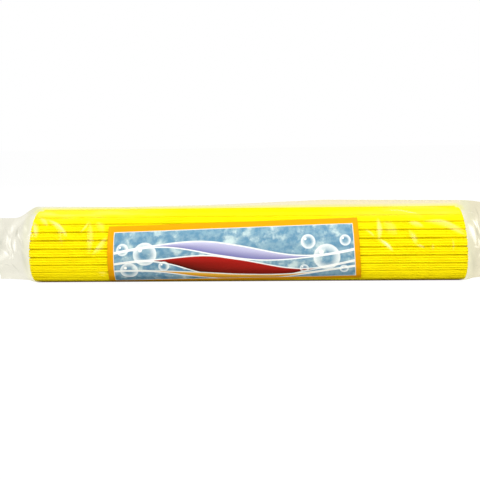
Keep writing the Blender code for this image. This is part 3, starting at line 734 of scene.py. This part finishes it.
def bag_halves(x):
    """Front and back paths of the film at x, each from the bottom fold up to the top fold."""
    side = HALF_WIDTH + WRAP_GAP
    slack = float(np.interp(x, RIDGE_SLACK_AT, RIDGE_SLACK))
    fold = (RIDGE_DEPTH, -side)
    ridge = (RIDGE_DEPTH, side + slack)
    angles = np.linspace(-np.pi / 2, np.pi / 2, 61)
    crown_u = CROWN_DEPTH - (CROWN_DEPTH + WRAP_GAP) * np.cos(angles)
    crown = np.stack([crown_u, side * np.sin(angles)], axis=-1)
    crown = crown[crown[:, 1] < side - RIDGE_ROOT - slack / 2]
    front = np.concatenate([[fold, (CROWN_DEPTH, -side)], crown[1:], [ridge]])
    slope = smooth_step((abs(x) - TENT_FLAT_END) / (SPONGE_END - TENT_FLAT_END))
    tent_u = part_way(TENT_DEPTH, WEB_BACK + WRAP_GAP, slope)
    tent_h = part_way(TENT_HALF_HEIGHT, RAIL_WIDTH / 2 + WRAP_GAP, slope)
    low = np.array((BACK_FACE + WRAP_GAP, -side))
    high = np.array((BACK_FACE + WRAP_GAP, side + slack * RIDGE_SHOULDER))
    tent_low = np.array((tent_u, -tent_h))
    tent_high = np.array((tent_u, tent_h))
    back = np.array([
        fold, low,
        part_way(tent_low, low, TENT_ROUND), tent_low, part_way(tent_low, tent_high, TENT_ROUND),
        part_way(tent_high, tent_low, TENT_ROUND), tent_high, part_way(tent_high, high, TENT_ROUND),
        high, ridge])
    return evenly(rounded(front), FILM_HALF_POINTS), evenly(rounded(back), FILM_HALF_POINTS)


def gathered(path, side, x, gap):
    """The path drawn towards the bag's flat, pleated end."""
    level = np.linspace(0.0, 1.0, len(path))
    share = smooth_step((abs(x) - BODY_END + END_OVERLAP) / side["reach"])
    depth_share = smooth_step((abs(x) - BODY_END) / (BAG_END - BODY_END)) ** 0.8
    pleat = END_PLEAT_SWING * np.sin(2 * np.pi * END_PLEATS * level + side["phase"])
    flat_u = END_MIDDLE + pleat + gap / 2 * np.sin(np.pi * level)
    flat_h = part_way(side["low"], side["high"], level) - MID_HEIGHT
    u = part_way(path[:, 0], flat_u, depth_share)
    h = part_way(path[:, 1], flat_h, share)
    return np.stack([u, h], axis=-1)


def film_stations():
    body = np.linspace(-BODY_END, BODY_END, FILM_STATIONS_BODY)
    end = np.linspace(BODY_END, BAG_END, FILM_STATIONS_END + 1)[1:]
    return np.concatenate([-end[::-1], body, end])


def film_rings(stations):
    """Depths and heights of the smooth film, one ring at each station."""
    rings = []
    for x in stations:
        front, back = bag_halves(max(-BODY_END, min(BODY_END, x)))
        if abs(x) > BODY_END - END_OVERLAP:
            side = LEFT_END if x < 0 else RIGHT_END
            front = gathered(front, side, x, -END_GAP)
            back = gathered(back, side, x, END_GAP)
        rings.append(np.concatenate([front[:-1], back[::-1][:-1]]))
    return np.array(rings)


def crumple(along, around, rng, size, layers=5):
    """Creased facets: folded waves of several directions, each finer and flatter than the last."""
    total = np.zeros_like(along)
    for layer in range(layers):
        turn = rng.uniform(0, np.pi)
        length = size / 1.55 ** layer
        way = along * np.cos(turn) + around * np.sin(turn)
        cross = around * np.cos(turn) - along * np.sin(turn)
        bend_phase = 2 * np.pi * cross / (2.3 * length) + rng.uniform(0, 2 * np.pi)
        phase = (way + 0.22 * length * np.sin(bend_phase)) / length + rng.uniform()
        total += (np.abs(2 * (phase - np.floor(phase)) - 1) - 0.5) / 1.7 ** layer
    return total


def billows(along, around, rng):
    """Soft swells of slack film, longer along the crown's slope than across it."""
    total = np.zeros_like(along)
    for _ in range(BILLOWS):
        turn = rng.uniform(-0.6, 0.6)
        length = rng.uniform(*BILLOW_LENGTHS)
        way = along * np.cos(turn) + around * np.sin(turn)
        wave = np.sin(2 * np.pi * way / length + rng.uniform(0, 2 * np.pi))
        total += wave * length / BILLOW_LENGTHS[1]
    return total / 2


def stray_folds(rng):
    """Short crossing folds near the bag's two edges, scattered at random."""
    folds = []
    for side, inner in STRAY_INNER.items():
        for _ in range(STRAY_FOLDS):
            x = side * rng.uniform(inner, BAG_END - STRAY_MARGIN)
            middle = np.array((x, rng.uniform(-STRAY_HEIGHT, STRAY_HEIGHT)))
            turn = rng.uniform(0, np.pi)
            step = np.array((np.cos(turn), np.sin(turn))) * rng.uniform(*STRAY_HALF_LENGTH)
            look = {name: rng.uniform(*limits) for name, limits in STRAY_LOOKS.items()}
            folds.append(Fold(middle - step, middle + step, **look))
    return folds


def fold_shape(x, y, fold):
    """How near a fold's crest each place is: 1 on the crest, 0 off the fold, less at its ends."""
    way = np.array(fold.end) - np.array(fold.start)
    length = np.hypot(*way)
    way = way / length
    along = ((x - fold.start[0]) * way[0] + (y - fold.start[1]) * way[1]) / length
    across = (x - fold.start[0]) * -way[1] + (y - fold.start[1]) * way[0]
    taper = np.sin(np.pi * np.clip(along, 0.0, 1.0))
    place = (across - 0.06 * length * taper) / (fold.width * (0.25 + 0.75 * taper))
    before = (1 + place) / (1 + fold.lean)
    after = (1 - place) / (1 - fold.lean)
    return np.maximum(np.where(place < fold.lean, before, after), 0.0) * taper ** 0.8


def fold_sums(x, y, folds):
    """Height, and painted highlight or below 0 painted shade, that folds give to places on the
    film.
    """
    height = np.zeros_like(y)
    white = np.zeros_like(y)
    dark = np.zeros_like(y)
    for fold in folds:
        shape = fold_shape(x, y, fold)
        height += fold.rise * shape ** 1.15
        white = np.maximum(white, fold.sheen * shape)
        dark = np.minimum(dark, fold.sheen * shape)
    return height, white + dark


def grid_normals(points):
    """Outward normals of a closed tube of points."""
    along = np.gradient(points, axis=0)
    around = np.roll(points, -1, axis=1) - np.roll(points, 1, axis=1)
    normals = np.cross(around, along)
    normals /= np.maximum(np.linalg.norm(normals, axis=-1, keepdims=True), 1e-12)
    middle = points.mean(axis=1, keepdims=True)
    outward = np.sign(((points - middle) * normals).sum(axis=-1).mean())
    return normals * outward


def ring_steps(points):
    """Distances from each point of closed rings to the next."""
    return np.linalg.norm(np.roll(points, -1, axis=-2) - points, axis=-1)


def film_points(rng):
    """The tube of film with its creases and folds, and the painted highlight or shade of each
    point.
    """
    stations = film_stations()
    rings = film_rings(stations)
    points = in_space(stations[:, None], rings[..., 0], rings[..., 1])
    around = np.cumsum(ring_steps(points), axis=1)
    along = np.broadcast_to(stations[:, None], around.shape)
    count = FILM_HALF_POINTS - 1
    tip = np.argmin(rings[len(stations) // 2, :count, 0])
    arc = around - around[:, tip:tip + 1]
    column = np.arange(around.shape[1])[None, :]
    front = column < count
    inner = np.abs(np.sin(np.pi * column / count)) ** 0.7
    height = points[..., 2] - MID_HEIGHT

    # Folds give height, and a painted highlight or shade that the film's material reads
    lift, sheen = fold_sums(along, arc, FOLDS)
    curls, curl_painted_light = fold_sums(along, height, END_FOLDS + tuple(stray_folds(rng)))
    ends = smooth_step((np.abs(along) - END_START) / END_BLEND)
    # Painted light and shade on the ends' facets
    facets = ends * (END_FACET_SHADING * crumple(along, 0.8 * around, rng, 0.024, 2) - END_PAINTED_SHADE)
    lift = np.where(front, lift + curls * inner, 0.0)
    sheen = np.where(front, sheen + (curl_painted_light + facets) * inner, 0.0)
    lift = lift + ends * inner * END_CRUMPLE * crumple(along, around, rng, 0.030, 3)

    off_card = smooth_step((np.abs(along) - 0.085) / 0.06)
    loose = part_way(BILLOW_MIDDLE_SHARE, 1.0, off_card) * front
    loose = loose * smooth_step((arc + 0.006) / 0.020)
    loose = loose * (1 - smooth_step((height - HALF_WIDTH + 0.008) / 0.006))
    lift = lift + loose * BILLOW_RISE * (1 + billows(along, arc, rng))

    behind = smooth_step((points[..., 1] - CROWN_TIP_Y - BACK_FACE) / BACK_BLEND)
    creases = crumple(along, around, rng, 0.034)
    lift = lift + behind * BACK_CRUMPLE * (BACK_CRUMPLE_SHIFT + creases)
    # Painted light and shade on the back's facets
    sheen = sheen + behind * BACK_FACET_SHADING * creases

    points = points + grid_normals(points) * lift[..., None]
    points[..., 2] = np.maximum(points[..., 2], FILM_FOOT)
    return points, sheen


def make_film(rng):
    points, sheen = film_points(rng)
    film = grid_object("clear_film", points, closed=True)
    # Painted highlight and shade of each point, read by the film's material
    mark(film.data, "sheen", sheen)
    face_outward(film.data)
    dress(film, film_material(), "film", "refill", "bag_film")


class Graph:
    """Short words for building a material's nodes."""

    def __init__(self, tree):
        self.tree = tree
        tree.nodes.clear()

    def node(self, kind, feeds=None, **settings):
        """A new node with its settings, and values or links for its inputs by name or number."""
        made = self.tree.nodes.new("ShaderNode" + kind)
        set_up(made, settings)
        for key, value in (feeds or {}).items():
            socket = made.inputs[key]
            if hasattr(value, "is_output"):
                self.tree.links.new(value, socket)
            elif socket.type == "RGBA":
                socket.default_value = (*value, 1.0)
            else:
                socket.default_value = value
        return made

    def shader(self, kind, feeds):
        return self.node(kind, feeds).outputs[0]

    def math(self, operation, *terms):
        return self.node("Math", dict(enumerate(terms)), operation=operation).outputs[0]

    def times(self, a, b):
        return self.math("MULTIPLY", a, b)

    def line(self, value, slope, start):
        return self.math("MULTIPLY_ADD", value, slope, start)

    def rest(self, share):
        return self.math("SUBTRACT", 1.0, share)

    def step(self, value, low, high):
        """0 below low, 1 above high and smooth between."""
        feeds = {0: value, 1: low, 2: high}
        return self.node("MapRange", feeds, interpolation_type="SMOOTHSTEP").outputs[0]

    def blend(self, share, a, b, way="MIX"):
        feeds = {0: share, 6: a, 7: b}
        return self.node("Mix", feeds, data_type="RGBA", blend_type=way).outputs[2]

    def mix(self, share, a, b):
        return self.shader("MixShader", {0: share, 1: a, 2: b})

    def both(self, a, b):
        return self.shader("AddShader", {0: a, 1: b})

    def noise(self, place, scale, detail=3.0, rough=0.5):
        feeds = {"Vector": place, "Scale": scale, "Detail": detail, "Roughness": rough}
        return self.node("TexNoise", feeds).outputs["Fac"]

    def cells(self, place, scale):
        return self.node("TexVoronoi", {"Vector": place, "Scale": scale}, feature="F1").outputs

    def stretched(self, place, scale):
        return self.node("Mapping", {"Vector": place, "Scale": scale}).outputs[0]

    def distance(self, a, b):
        return self.node("VectorMath", {0: a, 1: b}, operation="DISTANCE").outputs["Value"]

    def parts(self, vector):
        return self.node("SeparateXYZ", {0: vector}).outputs

    def bump(self, height, strength, distance):
        feeds = {"Height": height, "Strength": strength, "Distance": distance}
        return self.node("Bump", feeds).outputs[0]

    def mark(self, name):
        return self.node("Attribute", attribute_name=name).outputs["Fac"]

    def object_place(self):
        return self.node("TexCoord").outputs["Object"]

    def surface(self, shader, output="OutputMaterial"):
        self.node(output, {"Surface": shader})


def new_material(name):
    material = bpy.data.materials.new(name)
    material.use_nodes = True
    return material, Graph(material.node_tree)


def sponge_material():
    """Matte yellow PVA: fine pores, faint cloudy colour and painted shade in its grooves."""
    material, graph = new_material("yellow_pva")
    place = graph.object_place()
    clouds = graph.step(graph.noise(place, 60.0, 4.0, 0.6), 0.35, 0.68)
    grain = graph.noise(place, 1600.0, 3.0, 0.6)
    # Painted shade: the grooves are darkened by the groove mark
    groove = graph.step(graph.mark("groove"), 0.08, 0.80)
    colour = graph.blend(clouds, SPONGE_YELLOW, SPONGE_PALE)
    colour = graph.blend(graph.times(grain, 0.05), colour, SPONGE_GRAIN)
    colour = graph.blend(groove, colour, SPONGE_GROOVE_SHADE)
    pits = graph.step(graph.cells(place, 1500.0)["Distance"], 0.05, 0.42)
    relief = graph.line(grain, 0.8, pits)
    graph.surface(graph.shader("BsdfPrincipled", {
        "Base Color": colour,
        "Roughness": 0.82,
        "Specular IOR Level": 0.06,
        "Normal": graph.bump(relief, 0.05, 0.00006)}))
    return material


def zinc_material(name, colour, roughness):
    """Bright zinc plate: soft spangle, fine rolling lines and duller patches."""
    material, graph = new_material(name)
    place = graph.object_place()
    lines = graph.noise(graph.stretched(place, (60.0, 2600.0, 2600.0)), 1.0, 2.0)
    patches = graph.noise(place, 220.0, 4.0, 0.6)
    spangle = graph.node("SeparateColor", {0: graph.cells(place, 420.0)["Color"]}).outputs[0]
    dull = tuple(part * ZINC_DULL for part in colour)
    metal = graph.blend(graph.step(patches, 0.42, 0.72), colour, dull)
    metal = graph.blend(1.0, metal, graph.line(spangle, 0.12, 0.9), "MULTIPLY")
    spread = graph.line(patches, 0.22, roughness - 0.1)
    graph.surface(graph.shader("BsdfPrincipled", {
        "Base Color": metal,
        "Metallic": 1.0,
        "Roughness": graph.line(lines, 0.08, spread),
        "Normal": graph.bump(lines, 0.12, 0.00005)}))
    return material


def card_material():
    """Printed paper: an orange frame with a white line, a cloudy blue field, waves and bubbles."""
    material, graph = new_material("card_print")
    uv = graph.node("UVMap", uv_map="print").outputs[0]
    across, up = graph.parts(uv)[:2]
    aspect = CARD_LENGTH / CARD_HEIGHT
    flat = graph.stretched(uv, (aspect, 1.0, 1.0))
    wisps = graph.step(graph.noise(flat, 9.0, 4.0, 0.6), 0.36, 0.64)
    puffs = graph.step(graph.noise(flat, 4.6, 5.0, 0.58), 0.50, 0.70)
    picture = graph.blend(wisps, CARD_SKY, CARD_SKY_PALE)
    picture = graph.blend(puffs, picture, CARD_CLOUD)
    picture = wave_ribbons(graph, across, up, picture)
    picture = bubbles(graph, flat, aspect, picture)
    sides = (("left", across, CARD_LENGTH), ("right", graph.rest(across), CARD_LENGTH),
             ("bottom", up, CARD_HEIGHT), ("top", graph.rest(up), CARD_HEIGHT))
    inside = 1.0
    for edge, share, size in sides:
        inside = graph.math("MINIMUM", inside, graph.line(share, size, -CARD_BORDERS[edge]))
    colour = graph.blend(graph.noise(flat, 2.0), CARD_ORANGE, CARD_ORANGE_PALE)
    colour = graph.blend(graph.step(inside, -0.0001, 0.0001), colour, CARD_LINE)
    colour = graph.blend(graph.step(inside, 0.0004, 0.0006), colour, picture)
    back = graph.node("NewGeometry").outputs["Backfacing"]
    fibres = graph.noise(flat, 140.0, 4.0, 0.65)
    graph.surface(graph.shader("BsdfPrincipled", {
        "Base Color": graph.blend(back, colour, CARD_BACK),
        "Roughness": graph.line(fibres, 0.16, 0.38),
        "Specular IOR Level": 0.12,
        "Normal": graph.bump(fibres, 0.08, 0.00008)}))
    return material


def wave_ribbons(graph, across, up, under):
    """Loose ribbons that swell and fade along the card, each edged in white."""
    colour = under
    fade = graph.rest(graph.step(across, 0.52, 0.84))
    swell = graph.times(graph.step(across, 0.16, 0.46), fade)
    for ribbon in RIBBONS:
        phase = graph.line(across, 2 * math.pi * RIBBON_TURNS, 2 * math.pi * ribbon.start)
        centre = graph.line(graph.math("SINE", phase), ribbon.swing, ribbon.level)
        half = graph.times(swell, ribbon.width)
        off = graph.math("SUBTRACT", up, centre)
        inside = graph.math("SUBTRACT", half, graph.math("ABSOLUTE", off))
        shade = graph.math("DIVIDE", off, graph.math("ADD", half, 0.001))
        paint = graph.blend(graph.line(shade, 0.5, 0.5), ribbon.dark, ribbon.bright)
        colour = graph.blend(graph.step(inside, -0.024, -0.014), colour, RIBBON_EDGE)
        colour = graph.blend(graph.step(inside, -0.004, 0.004), colour, paint)
    return colour


def bubbles(graph, flat, aspect, under):
    """Soap bubbles in two clusters: pale rings, each with a bright spot."""
    colour = under
    for across, up, radius in BUBBLES:
        reach = graph.distance(flat, (across * aspect, up, 0.0))
        within = graph.rest(graph.step(reach, radius, radius + BUBBLE_RIM))
        glow = graph.times(graph.step(reach, radius * 0.35, radius), within)
        colour = graph.blend(graph.times(glow, 0.75), colour, BUBBLE_GLOW)
        spot = graph.distance(flat, (across * aspect - radius * 0.4, up + radius * 0.4, 0.0))
        shine = graph.rest(graph.step(spot, radius * 0.12, radius * 0.22))
        colour = graph.blend(shine, colour, WHITE)
    return colour


def film_tint(graph, along, height, end, ridge, sheen):
    """What the film lets through: cream at its ridge and ends, with a painted yellow glow just
    above the sponge's top and beside its ends, a painted brown shadow at its foot, and painted grey
    shade in its folds.
    """
    right = graph.step(along, -0.12, 0.10)
    reach = graph.math("ABSOLUTE", along)
    near = graph.rest(graph.step(reach, BODY_END + 0.001, BODY_END + 0.010))
    over = graph.step(height, SPONGE_HIGH.z + 0.0005, SPONGE_HIGH.z + RIDGE_GLOW)
    # Painted shadow: the film is darkened brown along its foot, away from the ends
    foot_shadow = graph.times(graph.rest(graph.step(height, FOOT_DARK, FOOT_CLEAR)), graph.rest(end))
    end_tint = graph.blend(right, FILM_LEFT_TINT, FILM_RIGHT_TINT)
    # Painted glow: yellow beside the sponge's ends and just above its top
    end_tint = graph.blend(near, end_tint, FILM_GLOW_TINT)
    ridge_tint = graph.blend(right, FILM_RIDGE_LEFT_TINT, FILM_RIDGE_RIGHT_TINT)
    ridge_tint = graph.blend(over, FILM_RIDGE_GLOW_TINT, ridge_tint)
    tint = graph.blend(ridge, FILM_TINT, ridge_tint)
    tint = graph.blend(end, tint, end_tint)
    tint = graph.blend(foot_shadow, tint, FILM_FOOT_SHADOW_TINT)
    shadow = graph.times(graph.math("MAXIMUM", graph.times(sheen, -1.0), 0.0), FILM_SHADOW)
    return graph.blend(shadow, tint, FILM_SHADOW_TINT)


def film_veil(graph, reach, height, ridge):
    """How milky the film is edge on, most beside the card; kept to the upper half as a painted haze
    highlight of light from above.
    """
    veil = graph.line(graph.step(reach, 0.05, 0.12), 0.34, 0.06)
    veil = graph.times(veil, graph.line(ridge, -0.5, 1.0))
    # Painted highlight: the milky haze is kept to the upper half, lit from above
    upper = graph.step(height, MID_HEIGHT - HALF_WIDTH / 2, MID_HEIGHT + HALF_WIDTH / 2)
    veil = graph.times(veil, upper)
    closed = graph.step(reach, SPONGE_END - 0.006, SPONGE_END + 0.002)
    return graph.times(veil, graph.line(closed, -0.8, 1.0))


def film_material():
    """Clear film: tinted by place, with painted highlights on its folds, milky where it is seen
    edge on, glossy.
    """
    material, graph = new_material("clear_film")
    place = graph.object_place()
    along, _, height = graph.parts(place)
    reach = graph.math("ABSOLUTE", along)
    facing = graph.node("LayerWeight").outputs["Facing"]
    sheen = graph.mark("sheen")
    end = graph.step(reach, SPONGE_END - 0.002, SPONGE_END + 0.003)
    ridge = graph.step(height, SPONGE_HIGH.z - 0.003, SPONGE_HIGH.z - 0.0005)
    tint = film_tint(graph, along, height, end, ridge, sheen)
    clear = graph.shader("BsdfTransparent", {"Color": tint})
    milk = graph.shader("BsdfTranslucent", {"Color": FILM_MILK})
    matte = graph.shader("BsdfDiffuse", {"Color": FILM_MILK})
    veil = graph.times(graph.math("POWER", facing, 3.0), film_veil(graph, reach, height, ridge))
    hazy = graph.mix(veil, clear, graph.mix(0.65, milk, matte))
    # Painted highlight: white scatter added where the folds' mark is above 0
    painted_highlight = graph.shader("BsdfDiffuse", {"Color": graph.math("MAXIMUM", sheen, 0.0)})
    normal = graph.bump(graph.noise(place, 200.0), 0.08, 0.0004)
    gloss = graph.shader("BsdfGlossy", {"Roughness": 0.14, "Normal": normal})
    rim = graph.line(end, -0.17, 0.25)
    mirror = graph.line(graph.math("POWER", facing, 5.0), rim, 0.014)
    graph.surface(graph.mix(mirror, graph.both(hazy, painted_highlight), gloss))
    return material


def make_camera():
    flat = math.cos(CAMERA_ELEVATION)
    back = Vector((math.sin(CAMERA_AZIMUTH) * flat, -math.cos(CAMERA_AZIMUTH) * flat,
                   math.sin(CAMERA_ELEVATION)))
    level = (-back).cross(Vector((0, 0, 1))).normalized()
    upright = level.cross(-back)
    right = level * math.cos(CAMERA_ROLL) + upright * math.sin(CAMERA_ROLL)
    up = upright * math.cos(CAMERA_ROLL) - level * math.sin(CAMERA_ROLL)
    turn = Matrix((right, up, back)).transposed().to_4x4()
    camera = new_object("camera", bpy.data.cameras.new("camera"))
    camera.matrix_world = Matrix.Translation(CAMERA_TARGET + back * CAMERA_DISTANCE) @ turn
    camera.data.sensor_width = 36.0
    camera.data.lens = CAMERA_LENS_MM
    camera.data.clip_start = 0.01
    camera.data.clip_end = 50.0
    bpy.context.scene.camera = camera


def make_world():
    """White as seen by the camera; for gloss, bright to both sides and straight behind."""
    world = bpy.data.worlds.new("studio")
    world.use_nodes = True
    bpy.context.scene.world = world
    graph = Graph(world.node_tree)
    across, depth = graph.parts(graph.node("TexCoord").outputs["Generated"])[:2]
    ray = graph.node("LightPath").outputs
    behind = graph.step(depth, 0.72, 0.98)
    sides = graph.step(graph.math("ABSOLUTE", across), 0.40, 0.92)
    walls = graph.line(sides, ROOM_SIDES, graph.times(behind, ROOM_BEHIND))
    room = graph.line(ray["Is Diffuse Ray"], ROOM_AMBIENT, ROOM_DIM)
    room = graph.line(ray["Is Glossy Ray"], walls, room)
    seen = graph.shader("Background", {"Color": WHITE})
    around = graph.shader("Background", {"Strength": room})
    graph.surface(graph.mix(ray["Is Camera Ray"], around, seen), "OutputWorld")


def make_floor():
    mesh = bpy.data.meshes.new("floor")
    work = bmesh.new()
    bmesh.ops.create_grid(work, x_segments=1, y_segments=1, size=FLOOR_HALF_SIZE)
    work.to_mesh(mesh)
    work.free()
    floor = new_object("floor", mesh)
    material, graph = new_material("white_floor")
    ray = graph.node("LightPath").outputs
    behind = graph.step(graph.parts(graph.object_place())[1], 0.0, 0.15)
    mirrored = graph.times(graph.times(ray["Is Glossy Ray"], behind), FLOOR_MIRRORED)
    shade = graph.times(ray["Is Camera Ray"], FLOOR_SHADE)
    strength = graph.line(ray["Is Camera Ray"], FLOOR_GLOW, mirrored)
    colour = graph.line(ray["Is Diffuse Ray"], FLOOR_PAINT, shade)
    glow = graph.shader("Emission", {"Strength": strength})
    paint = graph.shader("BsdfDiffuse", {"Color": colour})
    graph.surface(graph.both(glow, paint))
    mesh.materials.append(material)


def soft_box(name, place, aim, size, power, mirrored):
    lamp = bpy.data.lights.new(name, "AREA")
    lamp.shape = "RECTANGLE"
    lamp.size = size[0]
    lamp.size_y = size[1]
    lamp.energy = power
    item = new_object(name, lamp)
    item.location = place
    item.rotation_euler = (Vector(aim) - Vector(place)).to_track_quat("-Z", "Y").to_euler()
    item.visible_glossy = mirrored
    item.visible_camera = False


def make_lights():
    middle = (0.0, 0.0, 0.03)
    above = (0.0, 0.0, 0.45)
    soft_box("front_fill", (0.1, -1.45, 0.30), middle, (1.5, 0.6), 13.5, False)
    soft_box("top_box", (0.0, -0.05, 1.0), middle, (1.3, 0.7), 5.5, False)
    soft_box("back_strip", (0.0, 0.36, 0.94), middle, (1.5, 0.25), 0.8, False)
    soft_box("left_box", (-0.72, -0.97, 0.70), above, (0.45, 1.4), 6.5, False)
    soft_box("right_box", (0.76, -0.95, 0.70), above, (0.45, 1.4), 6.5, False)
    soft_box("rear_fill", (0.25, 1.3, 0.7), middle, (1.2, 0.7), 9.0, True)
    soft_box("left_strip", (-0.95, -0.70, 0.40), middle, (0.07, 0.6), 1.2, True)
    soft_box("right_strip", (0.98, -0.68, 0.40), middle, (0.07, 0.6), 1.2, True)


def main():
    bpy.context.scene.view_settings.view_transform = "Standard"
    rng = np.random.default_rng(SEED)
    make_camera()
    make_world()
    make_floor()
    make_lights()
    make_sponge(rng)
    make_rail()
    for side, x in BOLT_PLACES.items():
        make_bolt(side, x)
        make_washer(side, x)
        make_wing_nut(side)
    make_card(rng)
    make_film(rng)


main()
